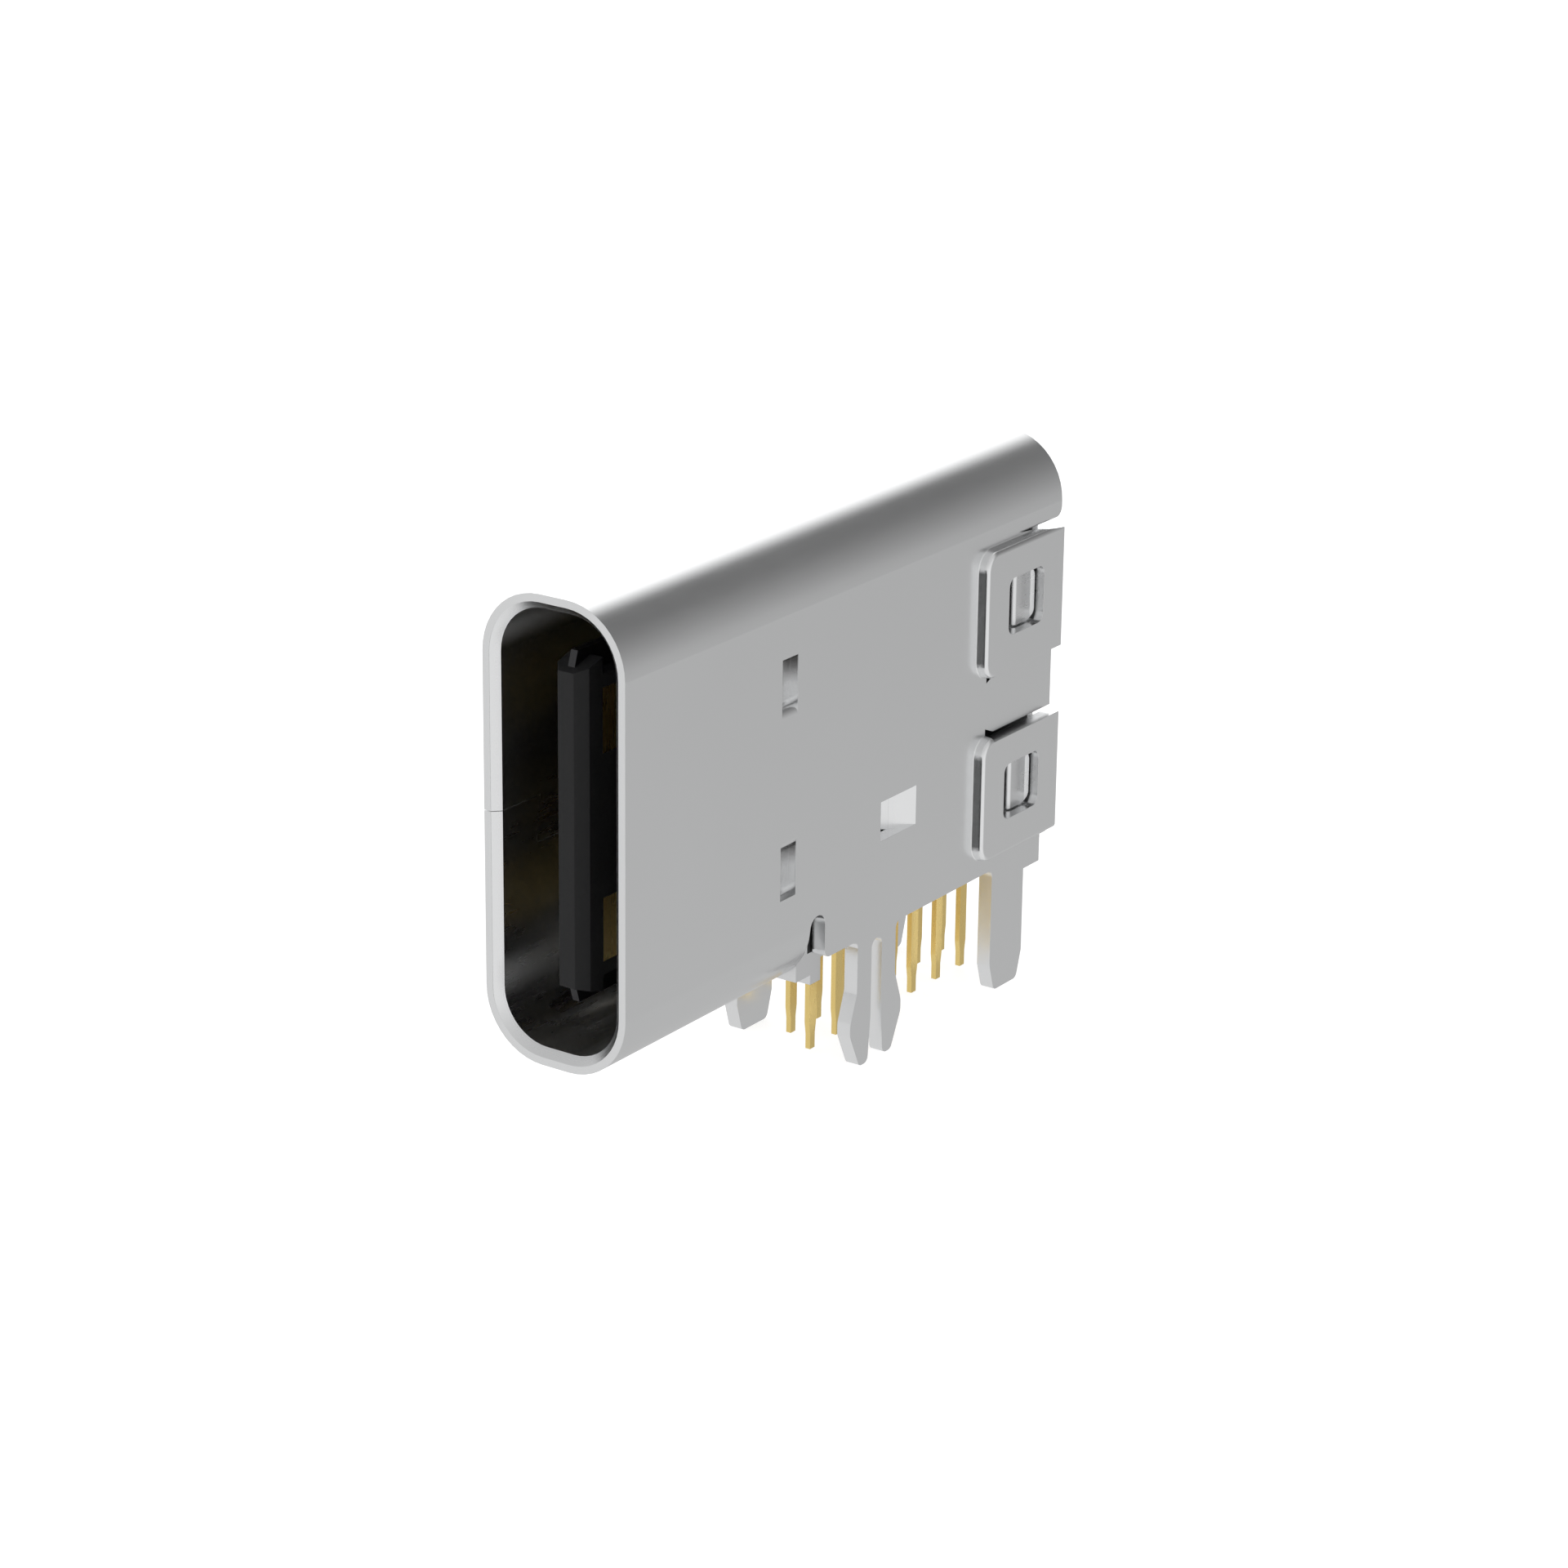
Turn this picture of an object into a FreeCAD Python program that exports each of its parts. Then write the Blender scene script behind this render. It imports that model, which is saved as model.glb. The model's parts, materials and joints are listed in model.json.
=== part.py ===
import FreeCAD, Part
import math
import os
import Sketcher

os.makedirs("parts", exist_ok=True)

# Every size, in mm. y runs back from the mouth, z up from the middle of the tube.
SIZES = (
    ("seat_back", 6.48, "mouth to the middle of the seat foot"),
    ("seat_low", -4.60, "height of the board seat"),
    ("tube_wide", 3.16, "outside thickness of the tube"),
    ("tube_high", 8.94, "outside height of the tube"),
    ("tube_round", 1.28, "outside corner radius of the tube"),
    ("tube_back", 14.49, "back edge of the tube top"),
    ("wall", 0.30, "sheet thickness of the shell"),
    ("lead_wide", 0.15, "lead-in at the mouth, across"),
    ("lead_deep", 0.15, "lead-in at the mouth, deep"),
    ("lead_slant", -45.0, "taper of the lead-in, degrees"),
    ("floor_back", 5.81, "back end of the tube bottom"),
    ("slot_back", 6.31, "back side of the relief slot"),
    ("slot_top", -3.03, "top of the relief slot"),
    ("slot_round", 0.24, "corner radius of the relief slot"),
    ("skirt_top", -3.00, "overlap of the skirt with the tube wall"),
    ("skirt_low", -3.98, "lower edge of the side walls"),
    ("skirt_round", 0.16, "radius where the skirt meets legs"),
    ("tail_skirt_low", -4.31, "lower edge of the side walls behind the rear legs"),
    ("tail_skirt_top", -3.735, "top of the stepped back edge"),
    ("tail_skirt_back", 14.02, "back edge of the stepped part"),
    ("leg_low", -6.63, "tips of the legs"),
    ("leg_wide", 1.19, "width of a straight leg"),
    ("leg_taper_top", -6.06, "start of the leg point"),
    ("leg_inset", 0.17, "how far the point comes in"),
    ("leg_tip_round", 0.14, "corner radius at the leg tips"),
    ("leg_root", -3.60, "overlap of a leg with the skirt"),
    ("near_rear_leg", 12.84, "middle of the rear leg, +X wall"),
    ("far_front_leg", 8.08, "middle of the front leg, -X wall"),
    ("far_rear_leg", 12.92, "middle of the rear leg, -X wall"),
    ("fork_mid", 8.10, "middle of the forked leg"),
    ("fork_gap", 0.36, "gap between the prongs"),
    ("fork_gap_top", -4.12, "top of the gap between the prongs"),
    ("fork_gap_round", 0.17, "corner radius at the top of the gap"),
    ("fork_wide", 1.32, "width of the fork at its root"),
    ("fork_knee_top", -5.05, "start of the outward knee"),
    ("fork_bulge", 1.76, "width over the knees"),
    ("fork_bulge_top", -5.68, "upper corner of the knee"),
    ("fork_bulge_low", -5.92, "lower corner of the knee"),
    ("fork_tip_out", 1.10, "width over the prong tips"),
    ("fork_tip_in", 0.52, "gap between the prong tips"),
    ("fork_round", 0.28, "radius of the knee bends"),
    ("seam_gap", 0.012, "opening of the rolled seam"),
    ("seam_high", 0.18, "height of the seam"),
    ("seam_step", -0.72, "height of the seam key"),
    ("key_front", 1.13, "front of the seam key"),
    ("key_back", 3.33, "back of the seam key"),
    ("key_neck", 0.12, "how much narrower the key neck is at each side"),
    ("pad_raise", 0.22, "how far the pads stand out"),
    ("pad_slant", 10.0, "taper of the pad sides, degrees"),
    ("pad_run", 0.0388, "run of a pad side"),
    ("pad_inset", 0.21, "inset of the hollow on drawn sides"),
    ("pad_round", 0.40, "corner radius of a pad at its foot"),
    ("pad_bend", 0.09, "bend radius of the pad sides"),
    ("pad_front", 11.47, "front edge of a pad"),
    ("pad_back", 14.25, "back edge of the pads"),
    ("slit_spare", 0.06, "overrun of a pad before its slit is cut"),
    ("upper_low", 0.28, "lower edge of the upper pad"),
    ("upper_high", 2.78, "upper edge of the upper pad"),
    ("lower_low", -3.60, "lower edge of the lower pad"),
    ("lower_high", -1.12, "upper edge of the lower pad"),
    ("slit_wide", 0.104, "slits beside the middle tongue"),
    ("slit_front", 11.83, "blind end of the slits"),
    ("relief_deep", 0.12, "relief at the blind end"),
    ("relief_back", 12.12, "back end of that relief"),
    ("wedge_front", 12.90, "point of the wedge slit"),
    ("wedge_high", 2.889, "upper side of the wedge slit"),
    ("wedge_low", 2.735, "lower side of the wedge slit at the back"),
    ("end_round", 0.20, "rear lower corner of the tube top"),
    ("window_front", 12.25, "front of the latch windows"),
    ("window_back", 13.53, "back of the latch windows"),
    ("window_high", 1.16, "height of a latch window"),
    ("window_round", 0.18, "corner radius of a latch window"),
    ("upper_window", 1.548, "middle of the upper latch windows"),
    ("lower_window", -2.31, "middle of the lower latch windows"),
    ("lance_front", 4.80, "front shear of the lances"),
    ("lance_back", 5.30, "back shear of the lances"),
    ("lance_near", 1.20, "end of a lance nearer the middle"),
    ("lance_far", 2.36, "end of a lance further out"),
    ("lance_lip", 1.33, "start of the ramp at the nearer end"),
    ("lance_flat_near", 1.43, "floor of a lance, nearer end"),
    ("lance_flat_far", 2.30, "floor of a lance, further end"),
    ("lance_deep", 0.18, "how far a lance is pressed in"),
    ("lance_rise", 0.02, "how much shallower the floor is at its nearer end"),
    ("lance_bend", 0.10, "bend radius at the further end of a lance"),
    ("lance_roll", 0.19, "bend radius at the nearer end of a lance"),
    ("tab_front", 8.15, "front of the retention window"),
    ("tab_back", 9.38, "back of the retention window"),
    ("tab_low", -2.16, "lower edge of the retention window"),
    ("tab_high", -1.36, "upper edge of the retention window"),
    ("tab_long", 1.05, "length of the retention tab"),
    ("tab_angle", 27.0, "bend of the retention tab, degrees"),
    ("shear", 0.02, "gap left beside a sheared tab"),
    ("cut_under", -8.00, "end of cuts that run out below"),
    ("cover_thick", 0.20, "sheet thickness of the rear cover"),
    ("cover_back", 14.15, "back face of the rear cover"),
    ("cover_wide", 2.50, "width of the back plate"),
    ("cover_low", -3.93, "lower edge of the back plate"),
    ("cover_high", 4.12, "upper edge of the back plate"),
    ("cover_round", 0.92, "upper corners of the back plate"),
    ("arm_wide", 2.96, "width over the arms"),
    ("arm_front", 12.00, "front end of the arms"),
    ("arm_high", 2.02, "height of an arm"),
    ("arm_bend", 0.22, "outside bend radius of an arm"),
    ("lug_front", 12.80, "front of a lug"),
    ("lug_nose", 0.09, "radius of the lead-in at the front of a lug"),
    ("lug_rise", 0.09, "height of the lug plateau over the arm"),
    ("ridge_front", 13.39, "foot of the locking ridge"),
    ("ridge_rise", 0.125, "height of the locking ridge over the arm"),
    ("lug_back", 13.495, "locking face of the lug"),
    ("lug_gap", 0.03, "gap above and below a lug"),
    ("lug_slot", 12.20, "front of the slot before a lug"),
    ("lug_round", 0.22, "rear corners of a lug"),
    ("tongue_front", 0.36, "front of the tongue"),
    ("tongue_thick", 0.70, "thickness of the tongue"),
    ("tongue_nose", 0.356, "thickness of the tongue front"),
    ("nose_back", 0.594, "back end of the nose bevel"),
    ("tip_half", 3.00, "half width of the tongue front"),
    ("bar_half", 3.19, "half width of the tip bar"),
    ("bar_back", 0.98, "back of the tip bar"),
    ("tongue_half", 2.87, "half width of the tongue"),
    ("base_front", 4.81, "front of the tongue base"),
    ("base_thick", 1.20, "thickness of the tongue base"),
    ("base_half", 3.30, "half width of the tongue base"),
    ("base_round", 0.30, "corner radius of the tongue base"),
    ("body_front", 6.20, "front face of the body block"),
    ("body_back", 13.93, "back face of the body block"),
    ("body_wide", 2.50, "thickness of the body block"),
    ("body_low", -3.93, "underside of the body block"),
    ("body_high", 4.12, "top of the body block"),
    ("body_round", 0.92, "upper corners of the body block"),
    ("join", 0.20, "overlap of moulded lumps"),
    ("recess_front", 8.00, "front of the recess for the tab"),
    ("recess_back", 9.62, "back of the recess for the tab"),
    ("recess_room", 0.06, "room above and below the tab"),
    ("recess_floor", 0.78, "floor of the recess for the tab"),
    ("plate_thick", 0.15, "thickness of the mid plate"),
    ("plate_front", 0.51, "front of the mid plate"),
    ("plate_shoulder", 0.62, "end of the front corner cut"),
    ("plate_half", 3.345, "half width over the ears"),
    ("ear_back", 1.80, "back of the ears"),
    ("notch_half", 2.80, "half width in the latch notch"),
    ("notch_back", 2.90, "back of the latch notch"),
    ("plate_step", 4.60, "where the mid plate narrows"),
    ("plate_waist", 2.40, "half width behind that"),
    ("plate_back", 6.40, "back of the mid plate"),
    ("emi_thick", 0.08, "thickness of a shield plate"),
    ("emi_face", 0.64, "outer face of a shield plate"),
    ("emi_front", 4.92, "front of a shield plate"),
    ("emi_back", 6.34, "back of a shield plate"),
    ("emi_half", 2.70, "half width of a shield plate"),
    ("emi_round", 0.20, "front corners of a shield plate"),
    ("carrier_face", 0.62, "outer face of a contact carrier"),
    ("carrier_front", 6.60, "front of a contact carrier"),
    ("carrier_back", 13.55, "back of a contact carrier"),
    ("carrier_high", 3.20, "top of a contact carrier"),
    ("carrier_round", 0.30, "upper corners of a contact carrier"),
    ("contact_thick", 0.11, "thickness of the contacts"),
    ("blade_face", 0.35, "contact face on the tongue"),
    ("tail_face", 0.44, "outer face of the tails"),
    ("jog_front", 5.20, "front of the joggle"),
    ("jog_back", 5.60, "back of the joggle"),
    ("tail_pitch", 0.90, "pitch of the tails"),
    ("tail_front_a", 7.49, "first tail, +X row"),
    ("tail_front_b", 7.94, "first tail, -X row"),
    ("tail_wide", 0.235, "width of a tail"),
    ("tail_point", 0.16, "width of a tail tip"),
    ("tail_taper_top", -6.00, "start of the tail taper"),
    ("tail_taper_low", -6.24, "end of the tail taper"),
    ("tail_low", -6.55, "tips of the tails"),
    ("split_top", -3.20, "where a power contact splits in two"),
    ("power_front", 0.98, "front of the power contacts"),
    ("power_near", 1.38, "edge of a power contact nearer the middle"),
    ("power_far", 2.61, "edge of a power contact further out"),
    ("signal_front", 1.60, "front of the signal contacts"),
    ("signal_wide", 0.25, "width of a signal contact"),
    ("signal_pitch", 0.50, "pitch of the signal contacts"),
    ("signal_shift", 0.25, "middle signal contact off the centre line"),
    ("foot_front", 5.83, "front of the organizer"),
    ("foot_wide", 2.50, "width of the organizer"),
    ("foot_low", -4.40, "underside of the front lip"),
    ("foot_high", -3.32, "top of the wall in front of the body"),
    ("foot_step", 6.31, "front of the seat foot"),
    ("foot_back", 6.65, "back of the seat foot"),
    ("comb_low", -4.13, "underside of the comb"),
    ("comb_back", 13.75, "back of the comb"),
    ("comb_gap", 0.02, "room round a tail in the comb"),
)
TAILS = 7


class Size:
    """A number that carries the sheet expression it comes from."""

    def __init__(self, number, text):
        self.number = number
        self.text = text

    def __add__(self, other):
        return Size(self.number + number(other), f"({self.text} + {text(other)})")

    def __radd__(self, other):
        return self + other

    def __sub__(self, other):
        return Size(self.number - number(other), f"({self.text} - {text(other)})")

    def __rsub__(self, other):
        return -self + other

    def __mul__(self, other):
        return Size(self.number * number(other), f"({self.text} * {text(other)})")

    def __rmul__(self, other):
        return self * other

    def __truediv__(self, other):
        return Size(self.number / number(other), f"({self.text} / {text(other)})")

    def __neg__(self):
        return Size(-self.number, f"(0 - {self.text})")


def number(value):
    return value.number if isinstance(value, Size) else value


def text(value):
    return value.text if isinstance(value, Size) else repr(value)


def cosine(angle):
    return Size(math.cos(math.radians(angle.number)), f"cos({angle.text})")


def sine(angle):
    return Size(math.sin(math.radians(angle.number)), f"sin({angle.text})")


class Names:
    """The sizes by name."""


doc = FreeCAD.newDocument("usb_c_socket")
sheet = doc.addObject("Spreadsheet::Sheet", "Sizes")
s = Names()
for row, (alias, amount, note) in enumerate(SIZES, 1):
    sheet.set(f"A{row}", note)
    sheet.set(f"B{row}", str(amount))
    sheet.setAlias(f"B{row}", alias)
    setattr(s, alias, Size(amount, f"Sizes.{alias}"))
doc.recompute()


# Sketch and feature helpers

def new_body(name):
    return doc.addObject("PartDesign::Body", name)


def new_sketch(body, plane, offset=None):
    """A sketch on an origin plane. The offset is along +X, -Y or +Z."""
    sketch = body.newObject("Sketcher::SketchObject", f"{body.Name}_sketch")
    support = [item for item in body.Origin.OriginFeatures if item.Role == plane][0]
    sketch.AttachmentSupport = (support, [""])
    sketch.MapMode = "FlatFace"
    if offset is not None:
        sketch.setExpression("AttachmentOffset.Base.z", text(offset))
    return sketch


def lock(sketch, kind, line, value):
    """Tie the start point of a line to the sheet."""
    index = sketch.addConstraint(Sketcher.Constraint(kind, -1, 1, line, 1, number(value)))
    if isinstance(value, Size):
        sketch.setExpression(f"Constraints[{index}]", value.text)


def polygon(sketch, corners):
    """A closed straight-sided outline with every corner tied to the sheet."""
    total = len(corners)
    points = [FreeCAD.Vector(number(u), number(v), 0) for u, v in corners]
    first = sketch.GeometryCount
    for k in range(total):
        sketch.addGeometry(Part.LineSegment(points[k], points[(k + 1) % total]))
    for k in range(total):
        after = first + (k + 1) % total
        sketch.addConstraint(Sketcher.Constraint("Coincident", first + k, 2, after, 1))
    for k, (u, v) in enumerate(corners):
        lock(sketch, "DistanceX", first + k, u)
        lock(sketch, "DistanceY", first + k, v)


def box_corners(left, right, low, high):
    return ((left, low), (right, low), (right, high), (left, high))


def rounded_box(sketch, left, right, low, high, radius):
    """A rectangle with four true corner arcs."""
    r = number(radius)
    flat = box_corners(number(left), number(right), number(low), number(high))
    along = ((1, 0), (0, 1), (-1, 0), (0, -1))
    first = sketch.GeometryCount
    for k in range(4):
        start = flat[k]
        end = flat[(k + 1) % 4]
        u, v = along[k]
        a = FreeCAD.Vector(start[0] + r * u, start[1] + r * v, 0)
        b = FreeCAD.Vector(end[0] - r * u, end[1] - r * v, 0)
        centre = b + FreeCAD.Vector(-v, u, 0) * r
        circle = Part.Circle(centre, FreeCAD.Vector(0, 0, 1), r)
        turn = (k - 1) * math.pi / 2
        sketch.addGeometry(Part.LineSegment(a, b))
        sketch.addGeometry(Part.ArcOfCircle(circle, turn, turn + math.pi / 2))
    for k in range(4):
        line = first + 2 * k
        arc = line + 1
        after = first + (2 * k + 2) % 8
        sketch.addConstraint(Sketcher.Constraint("Tangent", line, 2, arc, 1))
        sketch.addConstraint(Sketcher.Constraint("Tangent", arc, 2, after, 1))
        level = "Vertical" if k % 2 else "Horizontal"
        sketch.addConstraint(Sketcher.Constraint(level, line))
        if k:
            sketch.addConstraint(Sketcher.Constraint("Equal", first + 1, arc))
    index = sketch.addConstraint(Sketcher.Constraint("Radius", first + 1, r))
    sketch.setExpression(f"Constraints[{index}]", text(radius))
    lock(sketch, "DistanceY", first, low)
    lock(sketch, "DistanceX", first + 2, right)
    lock(sketch, "DistanceY", first + 4, high)
    lock(sketch, "DistanceX", first + 6, left)


def extrude(body, kind, sketch, length, flip, both, taper):
    feature = body.newObject(f"PartDesign::{kind}", f"{body.Name}_{kind.lower()}")
    feature.Profile = sketch
    feature.setExpression("Length", text(length))
    feature.Reversed = flip
    if both:
        feature.SideType = "Symmetric"
    if taper is not None:
        feature.setExpression("TaperAngle", text(taper))
    doc.recompute()
    return feature


def pad(body, sketch, length, flip=False, both=False, taper=None):
    return extrude(body, "Pad", sketch, length, flip, both, taper)


def pocket(body, sketch, length, flip=False, both=False, taper=None):
    before = body.Shape.Volume
    feature = extrude(body, "Pocket", sketch, length, flip, both, taper)
    if not feature.Shape.Volume < before:
        raise RuntimeError(f"{feature.Name} removed nothing")
    return feature


def edges_along(shape, axis, spots):
    """Names of the straight edges along one axis that pass through the given spots."""
    across = [k for k in range(3) if k != axis]
    found = []
    for index, edge in enumerate(shape.Edges, 1):
        if len(edge.Vertexes) != 2:
            continue
        ends = [vertex.Point for vertex in edge.Vertexes]
        for spot in spots:
            off = [abs(end[k] - number(at)) for end in ends for k, at in zip(across, spot)]
            if max(off) < 1e-5:
                found.append(f"Edge{index}")
    return found


def edges_in_plane(shape, axis, level, keep):
    """Names of the edges that lie in a plane and whose middle passes a test."""
    found = []
    for index, edge in enumerate(shape.Edges, 1):
        ends = [vertex.Point[axis] for vertex in edge.Vertexes]
        middle = edge.valueAt((edge.FirstParameter + edge.LastParameter) / 2)
        if max(abs(at - number(level)) for at in ends + [middle[axis]]) < 1e-5 and keep(middle):
            found.append(f"Edge{index}")
    return found


def fillet(body, names, radius):
    if not names:
        raise RuntimeError(f"{body.Name}: no edge to round")
    before = body.Tip
    feature = body.newObject("PartDesign::Fillet", f"{body.Name}_fillet")
    feature.Base = (before, names)
    feature.setExpression("Radius", text(radius))
    doc.recompute()
    return feature


def round_corners(body, axis, spots, radius):
    return fillet(body, edges_along(body.Shape, axis, spots), radius)


def finish(piece, name):
    """Label a sub-part and set it in the part frame, board seat at z = 0."""
    piece.Label = name
    piece.setExpression("Placement.Base.y", (-s.seat_back).text)
    piece.setExpression("Placement.Base.z", (-s.seat_low).text)
    return piece


# Outer shell

HALF = s.tube_wide / 2
INNER = HALF - s.wall
TOP = s.tube_high / 2
# Length of the cuts through both walls, and the end of the cuts that run out at the back.
THROUGH = s.tube_wide + s.tube_wide
PAST = s.tube_back + s.pad_back


def wall_start(side, inner, thick):
    """Lower x of a plate that starts at the inner face on one side."""
    return inner if side > 0 else -(inner + thick)


def tube(body):
    sketch = new_sketch(body, "XZ_Plane")
    rounded_box(sketch, -HALF, HALF, -TOP, TOP, s.tube_round)
    inside = TOP - s.wall
    rounded_box(sketch, -INNER, INNER, -inside, inside, s.tube_round - s.wall)
    pad(body, sketch, s.tube_back, flip=True)
    sketch = new_sketch(body, "YZ_Plane")
    polygon(sketch, box_corners(s.floor_back, PAST, s.cut_under, s.tube_round - TOP))
    pocket(body, sketch, THROUGH, both=True)


def skirt(body, side):
    """Flat wall below the straight part of the tube, behind the relief slot."""
    leg = s.near_rear_leg if side > 0 else s.far_rear_leg
    sketch = new_sketch(body, "YZ_Plane", wall_start(side, INNER, s.wall))
    polygon(sketch, (
        (s.slot_back, s.skirt_top),
        (s.slot_back, s.skirt_low),
        (leg, s.skirt_low),
        (leg, s.tail_skirt_low),
        (s.tail_skirt_back, s.tail_skirt_low),
        (s.tail_skirt_back, s.tail_skirt_top),
        (s.pad_back, s.tail_skirt_top),
        (s.pad_back, s.skirt_top),
    ))
    pad(body, sketch, s.wall)


def straight_leg(body, side, middle):
    half = s.leg_wide / 2
    tip = half - s.leg_inset
    sketch = new_sketch(body, "YZ_Plane", wall_start(side, INNER, s.wall))
    polygon(sketch, (
        (middle - half, s.leg_root),
        (middle - half, s.leg_taper_top),
        (middle - tip, s.leg_low),
        (middle + tip, s.leg_low),
        (middle + half, s.leg_taper_top),
        (middle + half, s.leg_root),
    ))
    pad(body, sketch, s.wall)
    return ((middle - tip, s.leg_low), (middle + tip, s.leg_low))


def forked_leg(body):
    middle = s.fork_mid
    outside = (
        (s.fork_wide / 2, s.leg_root),
        (s.fork_wide / 2, s.fork_knee_top),
        (s.fork_bulge / 2, s.fork_bulge_top),
        (s.fork_bulge / 2, s.fork_bulge_low),
        (s.fork_tip_out / 2, s.leg_low),
    )
    inside = (
        (s.fork_tip_in / 2, s.leg_low),
        (s.fork_gap / 2, s.fork_bulge_top),
        (s.fork_gap / 2, s.fork_gap_top),
    )
    half = outside + inside
    front = [(middle - off, level) for off, level in half]
    back = [(middle + off, level) for off, level in reversed(half)]
    sketch = new_sketch(body, "YZ_Plane", wall_start(1, INNER, s.wall))
    polygon(sketch, front + back)
    pad(body, sketch, s.wall)
    knees = [front[1], front[2], front[3], back[-2], back[-3], back[-4]]
    tips = [front[4], front[5], back[-5], back[-6]]
    gap = [front[7], back[0]]
    return knees, tips, gap


def slot_and_skirts(body):
    for side in (1, -1):
        skirt(body, side)
    knees, tips, gap = forked_leg(body)
    tips += straight_leg(body, 1, s.near_rear_leg)
    tips += straight_leg(body, -1, s.far_front_leg)
    tips += straight_leg(body, -1, s.far_rear_leg)
    sketch = new_sketch(body, "YZ_Plane")
    polygon(sketch, box_corners(s.floor_back, s.slot_back, s.cut_under, s.slot_top))
    pocket(body, sketch, THROUGH, both=True)
    round_corners(body, 0, knees, s.fork_round)
    round_corners(body, 0, tips, s.leg_tip_round)
    round_corners(body, 0, gap, s.fork_gap_round)
    roots = [(s.slot_back, s.skirt_low)]
    roots += [(s.fork_mid - s.fork_wide / 2, s.skirt_low), (s.fork_mid + s.fork_wide / 2, s.skirt_low)]
    for middle in (s.near_rear_leg, s.far_front_leg, s.far_rear_leg):
        roots += [(middle - s.leg_wide / 2, s.skirt_low), (middle + s.leg_wide / 2, s.skirt_low)]
    round_corners(body, 0, roots, s.skirt_round)
    round_corners(body, 0, [(s.floor_back, s.slot_top), (s.slot_back, s.slot_top)], s.slot_round)


def raised_pad(body, side, low, high, hollow_low, hollow_high):
    """A pad drawn outwards: a tapered boss outside and a tapered hollow inside."""
    front = s.pad_front - s.pad_run
    back = s.pad_back + s.pad_run + s.pad_round
    sketch = new_sketch(body, "YZ_Plane", side * HALF)
    rounded_box(sketch, front, back, low, high, s.pad_round)
    pad(body, sketch, s.pad_raise, flip=side < 0, taper=-s.pad_slant)
    sketch = new_sketch(body, "YZ_Plane", side * INNER)
    radius = s.pad_round - s.pad_inset
    rounded_box(sketch, front + s.pad_inset, PAST, hollow_low, hollow_high, radius)
    pocket(body, sketch, s.pad_raise, flip=side > 0, taper=-s.pad_slant)
    face = side * (HALF + s.pad_raise)
    spot = number(front)

    def outline(middle):
        return middle.y > spot and number(low) < middle.z < number(high)

    fillet(body, edges_in_plane(body.Shape, 0, face, outline), s.pad_bend)


def pads(body):
    spread = s.slit_spare + s.pad_run
    for side in (1, -1):
        low = s.upper_low - spread
        high = s.upper_high + s.pad_run
        raised_pad(body, side, low, high, low + s.shear, high - s.pad_inset)
        low = s.lower_low - s.pad_run
        high = s.lower_high + spread
        raised_pad(body, side, low, high, low + s.pad_inset, high - s.shear)
        # Drawn too long and cut here, so the rear corners of the pads stay square.
        sketch = new_sketch(body, "YZ_Plane", side * HALF)
        polygon(sketch, box_corners(s.pad_back, PAST, -TOP, TOP))
        pocket(body, sketch, s.pad_raise + s.join, flip=side > 0)


def middle_tongue(body):
    """The strip between the pads stays at wall level, with slits beside it."""
    sketch = new_sketch(body, "YZ_Plane")
    polygon(sketch, box_corners(s.slit_front, PAST, s.lower_high, s.upper_low))
    pocket(body, sketch, THROUGH, both=True)
    low = s.lower_high + s.slit_wide
    high = s.upper_low - s.slit_wide
    root = s.slit_front - s.pad_bend
    for side in (1, -1):
        sketch = new_sketch(body, "YZ_Plane", wall_start(side, INNER, s.wall))
        polygon(sketch, (
            (root, low + s.relief_deep),
            (s.slit_front, low + s.relief_deep),
            (s.relief_back, low),
            (s.pad_back, low),
            (s.pad_back, high),
            (s.relief_back, high),
            (s.slit_front, high - s.relief_deep),
            (root, high - s.relief_deep),
        ))
        pad(body, sketch, s.wall)


def back_edges(body):
    sketch = new_sketch(body, "YZ_Plane")
    polygon(sketch, (
        (s.wedge_front, s.wedge_high),
        (s.pad_back, s.wedge_low),
        (s.pad_back, s.tail_skirt_top),
        (s.tail_skirt_back, s.tail_skirt_top),
        (s.tail_skirt_back, s.cut_under),
        (PAST, s.cut_under),
        (PAST, s.wedge_high),
    ))
    pocket(body, sketch, THROUGH, both=True)
    round_corners(body, 0, [(s.tube_back, s.wedge_high)], s.end_round)


def windows(body):
    half = s.window_high / 2
    for middle in (s.upper_window, s.lower_window):
        sketch = new_sketch(body, "YZ_Plane")
        rounded_box(sketch, s.window_front, s.window_back, middle - half, middle + half, s.window_round)
        pocket(body, sketch, THROUGH, both=True)
    sketch = new_sketch(body, "YZ_Plane")
    polygon(sketch, box_corners(s.tab_front, s.tab_back, s.tab_low, s.tab_high))
    pocket(body, sketch, THROUGH, both=True)
    for low, high in ((s.lance_near, s.lance_far), (-s.lance_far, -s.lance_near)):
        sketch = new_sketch(body, "YZ_Plane")
        polygon(sketch, box_corners(s.lance_front, s.lance_back, low, high))
        pocket(body, sketch, THROUGH, both=True)


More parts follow.
